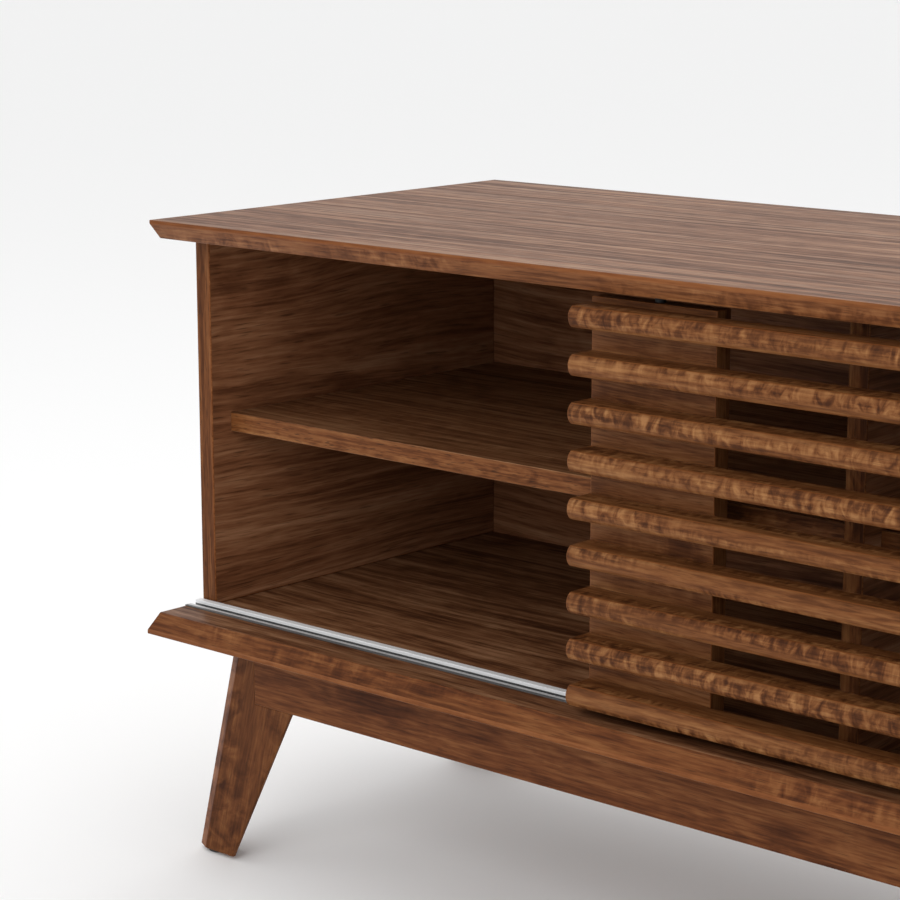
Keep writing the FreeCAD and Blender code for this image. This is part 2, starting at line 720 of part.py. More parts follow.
os.makedirs("parts", exist_ok=True)
for body in bodies:
    body.Shape.exportStep(f"parts/{body.Label}.step")
print(f"{len(bodies)} sub-parts written")
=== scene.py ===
import json
import math
import random
import bmesh
import bpy
from mathutils import Matrix, Vector

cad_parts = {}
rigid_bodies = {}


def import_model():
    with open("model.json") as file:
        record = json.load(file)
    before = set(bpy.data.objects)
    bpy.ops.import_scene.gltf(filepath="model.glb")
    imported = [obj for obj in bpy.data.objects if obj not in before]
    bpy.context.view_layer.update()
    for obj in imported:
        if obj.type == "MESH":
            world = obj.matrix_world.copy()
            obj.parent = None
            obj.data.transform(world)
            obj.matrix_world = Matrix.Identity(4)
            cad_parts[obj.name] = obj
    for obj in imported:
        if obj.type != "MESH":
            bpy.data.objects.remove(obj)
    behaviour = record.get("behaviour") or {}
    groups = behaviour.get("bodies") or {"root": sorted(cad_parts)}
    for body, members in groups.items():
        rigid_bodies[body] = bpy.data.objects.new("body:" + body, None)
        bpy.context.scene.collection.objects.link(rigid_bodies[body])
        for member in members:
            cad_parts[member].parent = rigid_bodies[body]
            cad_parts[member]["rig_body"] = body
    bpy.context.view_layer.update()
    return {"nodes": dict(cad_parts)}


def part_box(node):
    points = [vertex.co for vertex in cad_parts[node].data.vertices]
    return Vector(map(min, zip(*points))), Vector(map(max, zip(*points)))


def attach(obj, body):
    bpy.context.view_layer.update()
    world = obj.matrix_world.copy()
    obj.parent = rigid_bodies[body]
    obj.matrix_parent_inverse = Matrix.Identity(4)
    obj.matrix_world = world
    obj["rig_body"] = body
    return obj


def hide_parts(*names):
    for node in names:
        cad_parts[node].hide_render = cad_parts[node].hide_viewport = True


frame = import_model()
print("frame loaded")

# the camera, the floor and the light
cameraView = {
    "lens": 106.49,                        # mm
    "sensor": 36,                          # mm wide
    "place": (0.90422, -1.51938, 0.74178),
    "turn": 42.30,                         # degrees to the left of straight ahead
    "tilt": 11.62,                         # degrees down
    "roll": -0.14,
}


def makeCamera(look):
    data = bpy.data.cameras.new("camera")
    data.lens = look["lens"]
    data.sensor_width = look["sensor"]
    camera = bpy.data.objects.new("camera", data)
    bpy.context.scene.collection.objects.link(camera)
    turned = (Matrix.Rotation(math.radians(look["turn"]), 4, "Z")
              @ Matrix.Rotation(math.radians(90 - look["tilt"]), 4, "X")
              @ Matrix.Rotation(math.radians(look["roll"]), 4, "Z"))
    camera.matrix_world = Matrix.Translation(look["place"]) @ turned
    bpy.context.scene.camera = camera


studio = {
    "floorSize": 30,
    "floorColour": (0.93, 0.93, 0.93),
    "floorRoughness": 0.85,
    "skyColour": (1.0, 1.0, 1.0),
    "skyStrength": 0.95,
    # each lamp: its place, the point it faces, its width and its watts
    "lamps": {
        "keyLamp": ((0.6, -3.2, 2.2), (0, 0, 0.3), 2.2, 40),
        "topLamp": ((-0.4, 0.5, 3.2), (0, 0, 0.4), 2.6, 12),
    },
}


def makeStudio(look):
    mesh = bpy.data.meshes.new("floor")
    ground = bmesh.new()
    bmesh.ops.create_grid(ground, x_segments=1, y_segments=1, size=look["floorSize"])
    ground.to_mesh(mesh)
    ground.free()
    floor = bpy.data.objects.new("floor", mesh)
    bpy.context.scene.collection.objects.link(floor)
    paint, tree, shader = newMaterial("paleFloor")
    shader.inputs["Base Color"].default_value = (*look["floorColour"], 1)
    shader.inputs["Roughness"].default_value = look["floorRoughness"]
    mesh.materials.append(paint)

    world = bpy.data.worlds.new("studioSky")
    world.use_nodes = True
    sky = world.node_tree.nodes["Background"]
    sky.inputs["Color"].default_value = (*look["skyColour"], 1)
    sky.inputs["Strength"].default_value = look["skyStrength"]
    bpy.context.scene.world = world

    for name, (place, aim, size, watts) in look["lamps"].items():
        data = bpy.data.lights.new(name, "AREA")
        data.shape = "DISK"
        data.size = size
        data.energy = watts
        lamp = bpy.data.objects.new(name, data)
        bpy.context.scene.collection.objects.link(lamp)
        lamp.location = place
        lamp.rotation_euler = (Vector(aim) - Vector(place)).to_track_quat("-Z", "Y").to_euler()
    bpy.context.scene.view_settings.view_transform = "Standard"


def newMaterial(name):
    material = bpy.data.materials.new(name)
    material.use_nodes = True
    tree = material.node_tree
    return material, tree, tree.nodes["Principled BSDF"]


def addNode(tree, kind, inputs=None, **settings):
    made = tree.nodes.new(kind)
    for key, setting in settings.items():
        setattr(made, key, setting)
    for key, given in (inputs or {}).items():
        if isinstance(given, bpy.types.NodeSocket):
            tree.links.new(given, made.inputs[key])
        else:
            made.inputs[key].default_value = given
    return made


def stretchedNoise(tree, place, scale, detail=3, rough=0.55, shift=(0, 0, 0), distortion=0):
    mapped = addNode(tree, "ShaderNodeMapping", {"Vector": place, "Scale": scale, "Location": shift})
    return addNode(tree, "ShaderNodeTexNoise", {
        "Vector": mapped.outputs[0], "Scale": 1, "Detail": detail, "Roughness": rough,
        "Distortion": distortion})


def mathNode(tree, operation, first, second, clamp=False):
    made = addNode(tree, "ShaderNodeMath", {0: first, 1: second}, operation=operation, use_clamp=clamp)
    return made.outputs[0]


def remap(tree, given, low, high, newLow, newHigh):
    made = addNode(tree, "ShaderNodeMapRange", {
        "Value": given, "From Min": low, "From Max": high, "To Min": newLow, "To Max": newHigh})
    return made.outputs[0]


def mixColour(tree, blend, amount, first, second):
    made = addNode(tree, "ShaderNodeMix", {0: amount, 6: first, 7: second},
                   data_type="RGBA", blend_type=blend)
    return made.outputs[2]


def colourRamp(tree, given, stops):
    ramp = addNode(tree, "ShaderNodeValToRGB", {0: given})
    elements = ramp.color_ramp.elements
    while len(elements) < len(stops):
        elements.new(0.5)
    for element, (position, colour) in zip(elements, stops):
        element.position = position
        element.color = (*colour, 1)
    return ramp.outputs[0]


# walnut is laid by each piece's own grain map: u runs with the grain, v across it, in metres
walnutBase = {
    # from the darkest growth lines to the palest wood
    "tones": ((0.32, (0.060, 0.019, 0.006)), (0.44, (0.118, 0.041, 0.013)), (0.52, (0.185, 0.069, 0.023)),
              (0.60, (0.242, 0.102, 0.037)), (0.72, (0.340, 0.158, 0.063))),
    "cast": (1.0, 1.0, 1.0),               # multiplies every tone
    "wander": 0.014,                       # how far the grain drifts sideways, in metres
    "drift": (1.6, 5),                     # how quickly it does, repeats per metre with and across the grain
    "bands": ((1.6, 60), 0.45),            # repeats per metre with and across the grain, then weight
    "streaks": ((6, 300), 0.3),
    "fibre": ((42, 620), 0.3),
    "figure": ((62, 34), 0.2),             # blotches that cross the grain
    "patch": (1.5, 60),                    # where the figure shows, repeats per metre
    "contrast": 1.3,
    "middleTone": 0.52,
    "tintScale": (2.5, 120),
    "tint": (0.94, 0.90, 0.88),            # of the cooler streaks
    "poreScale": (60, 1300),
    "poreDark": 0.5,
    "poreColour": (0.022, 0.009, 0.004),
    "sheen": 0.1,
    "roughness": (0.40, 0.55),
    "bump": 0.6,
    "bumpHeight": 0.00005,
}


def walnut(name, **changes):
    look = {**walnutBase, **changes}
    material, tree, shader = newMaterial(name)
    grain = addNode(tree, "ShaderNodeUVMap", uv_map="grain").outputs[0]
    drift = stretchedNoise(tree, grain, (*look["drift"], 1), detail=2)
    place = addNode(tree, "ShaderNodeVectorMath", {
        0: drift.outputs["Color"], 1: (0, look["wander"], 0), 2: grain}, operation="MULTIPLY_ADD").outputs[0]

    # four noises round zero: the name of each, its detail and its distortion
    layers = {}
    noises = (("bands", 3, 0.2), ("streaks", 4, 0), ("fibre", 3, 0), ("figure", 3, 0.7))
    for key, detail, distortion in noises:
        (along, across), weight = look[key]
        pattern = stretchedNoise(tree, place, (along, across, 1), detail=detail, distortion=distortion)
        evened = mathNode(tree, "SUBTRACT", pattern.outputs[0], 0.5)
        layers[key] = mathNode(tree, "MULTIPLY", evened, weight * look["contrast"])
    patch = stretchedNoise(tree, place, (*look["patch"], 1), detail=2, shift=(5, 1, 0))
    patchAmount = remap(tree, patch.outputs[0], 0.44, 0.56, 0, 1)
    figure = mathNode(tree, "MULTIPLY", layers["figure"], patchAmount)
    lines = mathNode(tree, "ADD", layers["bands"], layers["streaks"])
    marks = mathNode(tree, "ADD", layers["fibre"], figure)
    tone = mathNode(tree, "ADD", mathNode(tree, "ADD", lines, marks), look["middleTone"])
    stops = [(stop, [part * cast for part, cast in zip(colour, look["cast"])])
             for stop, colour in look["tones"]]
    colour = colourRamp(tree, tone, stops)

    # the cooler streaks; on the top their bluish tint is a painted reflection
    cool = stretchedNoise(tree, place, (*look["tintScale"], 1), detail=2, shift=(3, 7, 0))
    coolAmount = remap(tree, cool.outputs[0], 0.45, 0.62, 0, 1)
    colour = mixColour(tree, "MULTIPLY", coolAmount, colour, (*look["tint"], 1))

    pores = stretchedNoise(tree, place, (*look["poreScale"], 1), detail=1, shift=(11, 2, 0))
    poreAmount = remap(tree, pores.outputs[0], 0.60, 0.72, 0, look["poreDark"])
    colour = mixColour(tree, "MIX", poreAmount, colour, (*look["poreColour"], 1))
    tree.links.new(colour, shader.inputs["Base Color"])
    shader.inputs["Specular IOR Level"].default_value = look["sheen"]

    dullness = remap(tree, tone, 0.35, 0.65, look["roughness"][1], look["roughness"][0])
    tree.links.new(dullness, shader.inputs["Roughness"])
    height = mathNode(tree, "SUBTRACT", tone, poreAmount)
    bump = addNode(tree, "ShaderNodeBump", {
        "Strength": look["bump"], "Distance": look["bumpHeight"], "Height": height})
    tree.links.new(bump.outputs[0], shader.inputs["Normal"])
    return material


def walnutTop():
    # the bluish tint on the top's cooler streaks is a painted reflection: the grey sheen of light across the
    # top
    return walnut("walnutTop", bands=((1.8, 55), 0.4), streaks=((4, 190), 0.45), figure=((30, 40), 0.1),
                  contrast=1.6, tint=(0.84, 0.92, 1.1), sheen=0.14)


def walnutDeck():
    return walnut("walnutDeck", bands=((3, 50), 0.35), streaks=((9, 180), 0.45), figure=((25, 30), 0.3),
                  wander=0.03, contrast=1.7, cast=(0.88, 0.97, 1.25))


def walnutBevel(name, cast):
    return walnut(name, figure=((90, 60), 0.6), patch=(5, 20), bands=((5, 60), 0.35), fibre=((30, 500), 0.4),
                  streaks=((20, 200), 0.3), contrast=1.1, cast=cast)


def walnutCase(name, cast):
    return walnut(name, wander=0.07, bands=((2, 40), 0.4), streaks=((7, 220), 0.4),
                  fibre=((34, 520), 0.25), figure=((20, 40), 0.25), patch=(3, 9), poreScale=(36, 620),
                  contrast=1.15, cast=cast)


def walnutShelf():
    return walnut("walnutShelf", wander=0.03, bands=((3, 50), 0.3), streaks=((8, 200), 0.45), contrast=1.6,
                  cast=(0.82, 0.9, 1.1))


def walnutEdge():
    return walnut("walnutEdge", figure=((40, 90), 0.5), poreScale=(90, 900), poreDark=0.7,
                  cast=(0.84, 0.78, 0.7))


def walnutSlat():
    return walnut("walnutSlat", figure=((150, 80), 0.85), patch=(2.5, 50), bands=((3, 80), 0.35),
                  fibre=((40, 420), 0.4), streaks=((8, 260), 0.25), contrast=1.15, poreDark=0.4,
                  cast=(0.87, 0.85, 0.78))


def walnutStile():
    return walnut("walnutStile", figure=((40, 34), 0.4), patch=(6, 14), bands=((5, 30), 0.35),
                  streaks=((14, 160), 0.25), wander=0.04, cast=(0.84, 0.82, 0.80))


def walnutLeg(name, cast):
    return walnut(name, figure=((70, 50), 0.6), patch=(6, 20), bands=((4, 36), 0.35),
                  streaks=((14, 180), 0.15), fibre=((40, 420), 0.3), contrast=1.05, cast=cast)


def walnutApron():
    return walnut("walnutApron", figure=((26, 60), 0.35), patch=(4, 20), bands=((4, 40), 0.35),
                  streaks=((12, 160), 0.35), fibre=((30, 500), 0.4), contrast=1.05, cast=(0.74, 0.64, 0.55))


# lighter walnut for eased edges, panel lips and arrises: a painted highlight where light catches the edges
def walnutArrisHighlight():
    return walnut("walnutArrisHighlight", cast=(0.98, 0.88, 0.78), poreDark=0.2, contrast=0.8)


def beechWood():
    material, tree, shader = newMaterial("beechWood")
    place = addNode(tree, "ShaderNodeTexCoord").outputs["Object"]
    flecks = stretchedNoise(tree, place, (600, 600, 90), detail=3)
    colour = colourRamp(tree, flecks.outputs[0], ((0.35, (0.48, 0.30, 0.16)), (0.65, (0.68, 0.48, 0.30))))
    tree.links.new(colour, shader.inputs["Base Color"])
    tree.links.new(remap(tree, flecks.outputs[0], 0.3, 0.7, 0.55, 0.75), shader.inputs["Roughness"])
    return material


def trackMetal(name, dark, light, metal):
    material, tree, shader = newMaterial(name)
    place = addNode(tree, "ShaderNodeTexCoord").outputs["Object"]
    drawn = stretchedNoise(tree, place, (3, 2600, 2600), detail=3)      # fine lines along the track
    wear = stretchedNoise(tree, place, (40, 90, 90), detail=2)
    colour = colourRamp(tree, drawn.outputs[0], ((0.35, dark), (0.65, light)))
    tree.links.new(colour, shader.inputs["Base Color"])
    shader.inputs["Metallic"].default_value = metal
    tree.links.new(remap(tree, wear.outputs[0], 0.35, 0.65, 0.38, 0.52), shader.inputs["Roughness"])
    bump = addNode(tree, "ShaderNodeBump", {"Strength": 0.3, "Distance": 0.00003, "Height": drawn.outputs[0]})
    tree.links.new(bump.outputs[0], shader.inputs["Normal"])
    return material


def mouldedPlastic(name, dark, light):
    material, tree, shader = newMaterial(name)
    place = addNode(tree, "ShaderNodeTexCoord").outputs["Object"]
    spark = stretchedNoise(tree, place, (1400, 1400, 1400), detail=3)   # the mould's fine sparking
    smudge = stretchedNoise(tree, place, (60, 60, 60), detail=2)
    colour = colourRamp(tree, smudge.outputs[0], ((0.35, dark), (0.65, light)))
    tree.links.new(colour, shader.inputs["Base Color"])
    tree.links.new(remap(tree, spark.outputs[0], 0.35, 0.65, 0.42, 0.58), shader.inputs["Roughness"])
    shader.inputs["Specular IOR Level"].default_value = 0.25
    bump = addNode(tree, "ShaderNodeBump", {"Strength": 0.4, "Distance": 0.00004, "Height": spark.outputs[0]})
    tree.links.new(bump.outputs[0], shader.inputs["Normal"])
    return material


def darkNylon():
    return mouldedPlastic("darkNylon", (0.018, 0.018, 0.019), (0.03, 0.03, 0.031))


def grommetPlastic():
    return mouldedPlastic("grommetPlastic", (0.022, 0.014, 0.010), (0.034, 0.023, 0.016))


def screwZinc():
    material, tree, shader = newMaterial("screwZinc")
    place = addNode(tree, "ShaderNodeTexCoord").outputs["Object"]
    clouds = stretchedNoise(tree, place, (500, 500, 500), detail=3)
    colour = colourRamp(tree, clouds.outputs[0], ((0.35, (0.42, 0.42, 0.41)), (0.65, (0.62, 0.61, 0.57))))
    tree.links.new(colour, shader.inputs["Base Color"])
    shader.inputs["Metallic"].default_value = 1
    tree.links.new(remap(tree, clouds.outputs[0], 0.35, 0.65, 0.26, 0.44), shader.inputs["Roughness"])
    return material


def bodyOf(nodeName):
    return frame["nodes"][nodeName]["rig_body"]


def pieceName(nodeName):
    first, *others = nodeName.split("_")
    return first + "".join(word.capitalize() for word in others)


def layGrain(solid, nodeName, favour=(1, 1, 1), lean=0, run=None):
    # the grain runs along the piece's longest side unless run names another axis; favour lets
    # a rounded face count as the side it swells from, and lean tips the grain across X with height
    low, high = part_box(nodeName)
    spread = high - low
    if run is not None:
        spread[run] = 10                   # longer than any side
    draw = random.Random(nodeName)
    shift = [draw.uniform(0, 9) for number in range(6)]
    layer = solid.loops.layers.uv.new("grain")
    solid.normal_update()
    for face in solid.faces:
        flat = max(range(3), key=lambda axis: abs(face.normal[axis]) * favour[axis])
        along, across = sorted((axis for axis in range(3) if axis != flat), key=lambda axis: -spread[axis])
        for loop in face.loops:
            place = loop.vert.co
            side = place[across] + (lean * place.z if across == 0 else 0)
            loop[layer].uv = (place[along] + shift[flat], side + shift[flat + 3])


def placePiece(solid, nodeName, materials):
    name = pieceName(nodeName)
    mesh = bpy.data.meshes.new(name)
    solid.to_mesh(mesh)
    solid.free()
    for material in materials:
        mesh.materials.append(material)
    piece = bpy.data.objects.new(name, mesh)
    bpy.context.scene.collection.objects.link(piece)
    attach(piece, bodyOf(nodeName))
    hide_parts(nodeName)


meshCare = {
    "merge": 1e-6,                         # metres
    "flatAngle": 0.5,                      # degrees between faces that count as one
    "sharpAngle": 25,                      # degrees from which an edge is eased
}


def nodeSolid(nodeName):
    # the node's triangles, merged into whole flat faces
    solid = bmesh.new()
    solid.from_mesh(frame["nodes"][nodeName].data)
    bmesh.ops.remove_doubles(solid, verts=solid.verts, dist=meshCare["merge"])
    bmesh.ops.dissolve_limit(solid, angle_limit=math.radians(meshCare["flatAngle"]), verts=solid.verts,
                             edges=solid.edges)
    return solid


def easeEdges(solid, ease, segments, shortest=0):
    sharp = [edge for edge in solid.edges
             if len(edge.link_faces) == 2 and edge.is_convex
             and edge.calc_face_angle() > math.radians(meshCare["sharpAngle"])
             and edge.calc_length() > shortest]
    made = bmesh.ops.bevel(solid, geom=sharp, offset=ease, offset_type="OFFSET", affect="EDGES",
                           segments=segments, profile=0.5, material=-1, clamp_overlap=False)
    return [face for face in made["faces"] if face.is_valid]


boardCare = {
    "segments": 3,                         # of an eased edge
    "shortest": 0.012,                     # shorter edges are inside joints and stay sharp
    "outReach": 0.1,                       # how clearly a face has to look away from the middle
    "slant": 0.3,                          # how far a bevel's normal leans to both sides
    "rimDepth": 0.001,                     # how near the rim a panel's lip is
    "upright": 0.9,                        # a lip's normal leans up or down less than this
}


def woodFor(face, look, eased, low, high):
    # the wood of a board's face, by its place in the list that the board is given
    middle = face.calc_center_median()
    normal = face.normal
    heights = [vert.co.z for vert in face.verts]
    rim = min(middle.x - low.x, high.x - middle.x, middle.y - low.y, high.y - middle.y)
    isLip = (rim < boardCare["rimDepth"] and abs(normal.z) < boardCare["upright"]
             and max(heights) - min(heights) < look.get("lip", 0))
    isOutward = normal.xy.dot(middle.xy) > boardCare["outReach"]
    isSlanted = min(abs(normal.x), abs(normal.y)) > boardCare["slant"]
    thinAxis = min(range(3), key=lambda axis: (high - low)[axis])
    isWide = thinAxis == max(range(3), key=lambda axis: abs(normal[axis]))
    if isLip:
        return look["lipWood"]
    # a slanted outer face, as on the legs' bevel, takes the lighter wood as a painted highlight
    if isOutward and isSlanted and "bevelHighlightWood" in look:
        return look["bevelHighlightWood"]
    if face in eased:
        return look["easedWood"]
    if isOutward and isWide and "outerWood" in look:
        return look["outerWood"]
    return 0 if isWide else 1


def makeBoard(nodeName, look, woods):
    # woods: the wide faces, the narrow faces, then those that the look names by number
    solid = nodeSolid(nodeName)
    eased = set(easeEdges(solid, look["ease"], boardCare["segments"], boardCare["shortest"]))
    low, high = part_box(nodeName)
    for face in solid.faces:
        face.material_index = woodFor(face, look, eased, low, high)
    for face in eased:
        face.smooth = True
    layGrain(solid, nodeName, lean=look.get("lean", 0), run=look.get("run"))
    placePiece(solid, nodeName, woods)


makeCamera(cameraView)
makeStudio(studio)
print("camera and studio ready")

# what the tones of a wood that is mixed twice are multiplied by; the inside walnut is a brighter copy of the
# outside's as painted light, the deck's bevel a darker copy of the top's bevel as painted shade, and the
# leg's bevel a lighter copy of the leg's as a painted highlight
casts = {
    "topBevel": (0.93, 0.88, 0.84),
    # darker than the top's bevel: painted shade on the lower panel's bevel, as light falls from above
    "deckBevelShade": (0.70, 0.60, 0.50),
    # well above the outside's: painted light that brightens the case's inner faces
    "inside": (1.16, 1.26, 1.68),
    "outside": (0.80, 0.74, 0.66),
    "leg": (0.68, 0.60, 0.48),
    # lighter than the leg: a painted highlight on the legs' outer bevel
    "legBevelHighlight": (0.95, 0.82, 0.68),
}
topWood = walnutTop()
topBevelWood = walnutBevel("walnutTopBevel", casts["topBevel"])
deckWood = walnutDeck()
# painted shade: the bottom panel's bevel is darker than the top's
deckBevelShadeWood = walnutBevel("walnutDeckBevelShade", casts["deckBevelShade"])
# the case's inner faces get painted light through this brighter copy
litCaseWood = walnutCase("walnutInsidePaintedLight", casts["inside"])
outerWood = walnutCase("walnutOutside", casts["outside"])
shelfWood = walnutShelf()
edgeWood = walnutEdge()
slatWood = walnutSlat()
stileWood = walnutStile()
legWood = walnutLeg("walnutLeg", casts["leg"])
# the legs' outer bevel gets a painted highlight through this lighter copy
legBevelHighlightWood = walnutLeg("walnutLegBevelHighlight", casts["legBevelHighlight"])
apronWood = walnutApron()
arrisHighlightWood = walnutArrisHighlight()
print("woods mixed")

# the lip is the upright edge that each panel's bevel leaves, here the tallest it can be
# the panels' lips take the arris walnut, a painted highlight along the edge
topBoards = {"ease": 0.0005, "easedWood": 1, "lip": 0.004, "lipWood": 2, "slot": "walnut_top"}
makeBoard("top_panel", topBoards, (topWood, topBevelWood, arrisHighlightWood))
# the bottom panel's bevel takes the painted-shade walnut
makeBoard("bottom_panel", topBoards, (deckWood, deckBevelShadeWood, arrisHighlightWood))

uprights = {"ease": 0.001, "slot": "walnut_case"}
# the sides' eased edges take the arris walnut, a painted highlight; their inner faces take the painted-light
# walnut
for node in ("left_side", "right_side"):
    makeBoard(node, {**uprights, "easedWood": 2, "outerWood": 3}, (litCaseWood, edgeWood, arrisHighlightWood, outerWood))
# the divider's wide faces take the painted-light walnut
makeBoard("centre_divider", {**uprights, "easedWood": 1}, (litCaseWood, edgeWood))

shelves = {"nodes": ("left_shelf", "right_shelf"), "ease": 0.0006, "easedWood": 0, "slot": "walnut_case"}
for node in shelves["nodes"]:
    makeBoard(node, shelves, (shelfWood, edgeWood))

backPanels = {
    "nodes": ("left_back_panel", "right_back_panel"),
    "ease": 0.0003, "easedWood": 1, "outerWood": 1, "slot": "walnut_panel"}
# the back panels' inner faces take the painted-light walnut
for node in backPanels["nodes"]:
    makeBoard(node, backPanels, (litCaseWood, outerWood))
print("case boards made")

# the legs' outer bevel takes the lighter walnut, a painted highlight
legs = {
    "nodes": ("front_left_leg", "front_right_leg", "rear_left_leg", "rear_right_leg"),
    "lean": 0.255,                         # the grain follows the leg's slope
    "ease": 0.0006, "easedWood": 0, "bevelHighlightWood": 2, "slot": "walnut_frame"}
for node in legs["nodes"]:
    lean = -legs["lean"] if "left" in node else legs["lean"]
    makeBoard(node, {**legs, "lean": lean}, (legWood, legWood, legBevelHighlightWood))

frameRails = {
    "nodes": ("front_apron", "rear_apron", "left_rail", "right_rail", "cross_rail", "front_left_block",
              "front_right_block", "rear_left_block", "rear_right_block"),
    "ease": 0.0006, "easedWood": 0, "slot": "walnut_frame"}
for node in frameRails["nodes"]:
    makeBoard(node, frameRails, (apronWood, apronWood))
print("legs and rails made")

stiles = {
    "nodes": ("door_left_stile", "door_right_stile"),
    "run": 0,                              # the grain runs along X, as the slats' does
    "ease": 0.0006, "easedWood": 2, "slot": "walnut_door"}
# the stiles' eased edges take the arris walnut, a painted highlight
for node in stiles["nodes"]:
    makeBoard(node, stiles, (stileWood, stileWood, arrisHighlightWood))

slats = {
    "count": 9,
    "crown": 0.004,                        # how far the front swells
    "arcSteps": 14,
    "ease": 0.0006,
    "segments": 3,
    "frontTurn": 0.3,                      # how far towards the front a face of the arc looks, at least
    "slot": "walnut_door",
}


def makeSlat(nodeName, look):
    low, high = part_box(nodeName)
    face = low.y + look["crown"]           # where the arc meets the flat top and underside
    halfTall = (high.z - low.z) / 2
    radius = (halfTall ** 2 + look["crown"] ** 2) / (2 * look["crown"])
    centre = Vector((low.x, low.y + radius, (low.z + high.z) / 2))
    sweep = 2 * math.asin(halfTall / radius)
    solid = bmesh.new()
    start = solid.verts.new((low.x, face, high.z))
    bmesh.ops.spin(solid, geom=[start], cent=centre, axis=(1, 0, 0), angle=sweep,
                   steps=look["arcSteps"], use_merge=False)
    solid.verts.ensure_lookup_table()
    bottom = min(solid.verts, key=lambda vert: vert.co.z)
    backLow = solid.verts.new((low.x, high.y, low.z))
    backHigh = solid.verts.new((low.x, high.y, high.z))
    for first, second in ((bottom, backLow), (backLow, backHigh), (backHigh, start)):
        solid.edges.new((first, second))
    end = bmesh.ops.contextual_create(solid, geom=solid.edges[:])["faces"]
    swept = bmesh.ops.extrude_face_region(solid, geom=end, use_keep_orig=True)
    moved = [item for item in swept["geom"] if isinstance(item, bmesh.types.BMVert)]
    bmesh.ops.translate(solid, verts=moved, vec=(high.x - low.x, 0, 0))
    bmesh.ops.recalc_face_normals(solid, faces=solid.faces)
    eased = easeEdges(solid, look["ease"], look["segments"])
    for item in solid.faces:
        item.smooth = len(item.verts) == 4 and item.normal.y < -look["frontTurn"]
    # the slats' eased edges take the arris walnut, a painted highlight
    for item in eased:
        item.material_index = 1
        item.smooth = True
    layGrain(solid, nodeName, favour=(1, 2, 1))
    placePiece(solid, nodeName, (slatWood, arrisHighlightWood))


for number in range(slats["count"]):
    makeSlat(f"slat_{number + 1}", slats)
print("door made")

# each alloy: its darker and its lighter colour, then how metallic it looks
alloys = {
    # the lower track's rib: a painted highlight
    "brightAlloy": ((0.80, 0.81, 0.82), (0.92, 0.92, 0.92), 0.2),
    "satinAlloy": ((0.56, 0.56, 0.56), (0.70, 0.70, 0.70), 0.4),
    # the lower track's groove and flange strip: painted shade
    "dullAlloy": ((0.10, 0.10, 0.10), (0.17, 0.17, 0.17), 0.6),
}
brightAlloy, satinAlloy, dullAlloy = (trackMetal(name, *look) for name, look in alloys.items())
nylon = darkNylon()
grommetBrown = grommetPlastic()
zinc = screwZinc()
beech = beechWood()


def makeFitting(nodeName, look, *materials):
    solid = nodeSolid(nodeName)
    for face in easeEdges(solid, look["ease"], look["segments"]):
        face.smooth = True
    if "paint" in look:
        look["paint"](solid, nodeName, look)
    placePiece(solid, nodeName, materials)


def paintTrack(solid, nodeName, look):
    # the rib that guides the door gets a painted highlight, the flange is satin, and the flange's outer strip
    # and the groove get painted shade
    low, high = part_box(nodeName)
    ribFront = high.y - look["rib"] - look["slack"]
    flangeBack = low.y + look["flange"]
    flangeShadeLine = low.y + look["edge"]
    grooveTop = high.z - look["lit"]
    for spot, direction in (((0, 0, grooveTop), (0, 0, 1)), ((0, flangeShadeLine, 0), (0, 1, 0))):
        bmesh.ops.bisect_plane(solid, geom=solid.verts[:] + solid.edges[:] + solid.faces[:],
                               dist=meshCare["merge"], plane_co=spot, plane_no=direction)
    for face in solid.faces:
        middle = face.calc_center_median()
        if middle.y > ribFront and middle.z > grooveTop:
            face.material_index = 0
        elif flangeShadeLine < middle.y < flangeBack:
            face.material_index = 1
        else:
            face.material_index = 2


lowerTrack = {
    "rib": 0.006,                          # its width
    "slack": 0.0002,
    "flange": 0.005,                       # from the track's front to the groove's eased edge
    "edge": 0.0022,                        # the flange's outer strip, darkened as a painted shadow line
    "lit": 0.0025,                         # how far down the rib the painted highlight reaches; below it is painted shade
    "ease": 0.0003, "segments": 3, "paint": paintTrack, "slot": "track_aluminium"}
makeFitting("lower_track", lowerTrack, brightAlloy, satinAlloy, dullAlloy)

upperTrack = {"ease": 0.0002, "segments": 3, "slot": "track_aluminium"}
makeFitting("upper_track", upperTrack, satinAlloy)

nylonParts = {
    "nodes": ("left_roller", "right_roller", "left_roller_housing", "right_roller_housing",
              "door_guide_pins", "foot_glides", "upper_track_stops"),
    "ease": 0.0003, "segments": 2, "slot": "nylon"}
for node in nylonParts["nodes"]:
    makeFitting(node, nylonParts, nylon)

grommets = {"ease": 0.0005, "segments": 3, "slot": "grommet_plastic"}
makeFitting("cable_grommets", grommets, grommetBrown)

axles = {
    "nodes": ("left_roller_axle", "right_roller_axle"),
    "ease": 0.0003, "segments": 2, "slot": "screw_steel"}
for node in axles["nodes"]:
    makeFitting(node, axles, zinc)

screwShape = {
    "turns": 24,                           # facets round; the recess needs a multiple of 6
    "reach": (1, 1.035, 0.536, 0.379, 0.536, 1.035),    # outline of a quarter of the cross recess
    "recess": 0.36,                        # of the head's radius
    "recessFloor": 0.7,                    # of the recess's radius
    "recessDeep": 0.5,                     # of the head's height
    "dome": 0.25,                          # of the head's height
    "crown": ((0.7, 0.3), (0.93, 1), (1, 2)),           # parts of the head's radius and of the dome
    "tip": 0.004,
    "tipBlunt": (0.3, 0.2),                # parts of the shank's radius and of the tip
    "slot": "screw_steel",
}
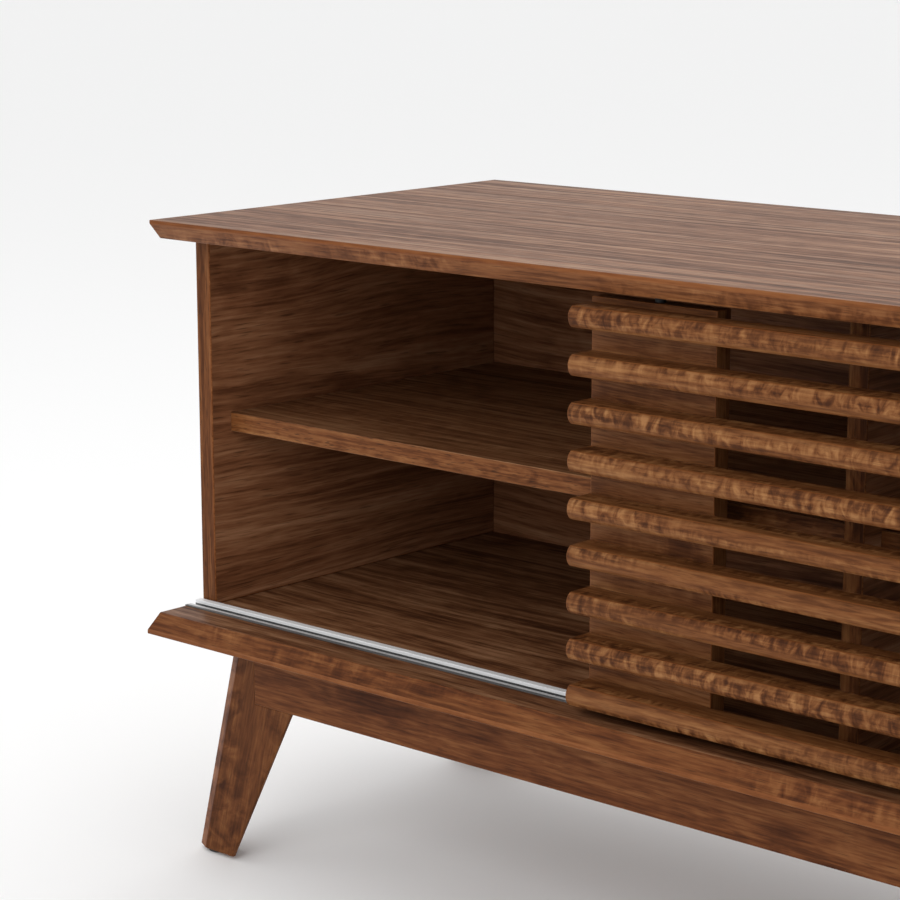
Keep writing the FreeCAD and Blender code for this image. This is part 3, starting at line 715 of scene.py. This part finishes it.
# each node's screws: the shank's radius, the head's height, the axis they lie on, and whether
# their heads are at its high end
screwKinds = {
    "slat_screws": {"shank": 0.00175, "headTall": 0.0022, "axis": 1, "headHigh": True},
    "case_screws": {"shank": 0.003, "headTall": 0.0022, "axis": 2, "headHigh": False},
    "base_screws": {"shank": 0.00175, "headTall": 0.0024, "axis": 2, "headHigh": False},
}


def separateBoxes(nodeName):
    # the low and high corner of each unconnected solid of a node
    solid = nodeSolid(nodeName)
    boxes = []
    waiting = set(solid.verts)
    while waiting:
        reached = [waiting.pop()]
        for vert in reached:
            for edge in vert.link_edges:
                other = edge.other_vert(vert)
                if other in waiting:
                    waiting.remove(other)
                    reached.append(other)
        spans = [[vert.co[axis] for vert in reached] for axis in range(3)]
        boxes.append((Vector([min(span) for span in spans]), Vector([max(span) for span in spans])))
    solid.free()
    return sorted(boxes, key=lambda box: tuple(box[0]))


def makeScrew(look, head, long):
    # stands on its head's top at the origin, with its tip along +Z
    solid = bmesh.new()
    shank, headTall, tip = look["shank"], look["headTall"], look["tip"]
    recess = look["recess"] * head
    floor = look["recessDeep"] * headTall
    dome = look["dome"] * headTall
    bluntOut, bluntUp = look["tipBlunt"]
    outline = [(0, floor), (recess * look["recessFloor"], floor), (recess, 0),
               *((head * out, dome * down) for out, down in look["crown"]),
               (head, headTall), (shank, headTall), (shank, long - tip),
               (shank * bluntOut, long - tip * bluntUp), (0, long)]
    verts = [solid.verts.new((across, 0, up)) for across, up in outline]
    edges = [solid.edges.new(pair) for pair in zip(verts, verts[1:])]
    bmesh.ops.spin(solid, geom=verts + edges, cent=(0, 0, 0), axis=(0, 0, 1), angle=math.tau,
                   steps=look["turns"], use_merge=True)
    bmesh.ops.remove_doubles(solid, verts=solid.verts, dist=meshCare["merge"])
    for vert in solid.verts:               # draws the round recess in to a cross
        across = vert.co.xy.length
        if 0 < across < recess * 1.01 and vert.co.z < headTall:
            facet = round(math.atan2(vert.co.y, vert.co.x) * look["turns"] / math.tau)
            vert.co.xy *= look["reach"][facet % len(look["reach"])]
    bmesh.ops.recalc_face_normals(solid, faces=solid.faces)
    for face in solid.faces:
        face.smooth = face.calc_center_median().xy.length > recess
    return solid


def makeScrews(nodeName, look):
    axis = look["axis"]
    acrossAxis = (axis + 1) % 3
    joined = bmesh.new()
    for low, high in separateBoxes(nodeName):
        head = (high[acrossAxis] - low[acrossAxis]) / 2
        screw = makeScrew(look, head, high[axis] - low[axis])
        place = (low + high) / 2
        place[axis] = high[axis] if look["headHigh"] else low[axis]
        along = Vector((0, 0, 0))
        along[axis] = -1 if look["headHigh"] else 1
        turned = along.to_track_quat("Z", "Y").to_matrix().to_4x4()
        bmesh.ops.transform(screw, matrix=Matrix.Translation(place) @ turned, verts=screw.verts)
        held = bpy.data.meshes.new("oneScrew")
        screw.to_mesh(held)
        screw.free()
        joined.from_mesh(held)
        bpy.data.meshes.remove(held)
    placePiece(joined, nodeName, (zinc,))


for node, kind in screwKinds.items():
    makeScrews(node, {**screwShape, **kind})


def dressNode(nodeName, material):
    # paints a CAD node as it is
    node = frame["nodes"][nodeName]
    if not node.material_slots:
        node.data.materials.append(None)
    for materialSlot in node.material_slots:
        materialSlot.link = "OBJECT"
        materialSlot.material = material


for node in ("top_dowels", "shelf_dowels", "base_dowels"):
    dressNode(node, beech)
print("fittings made")
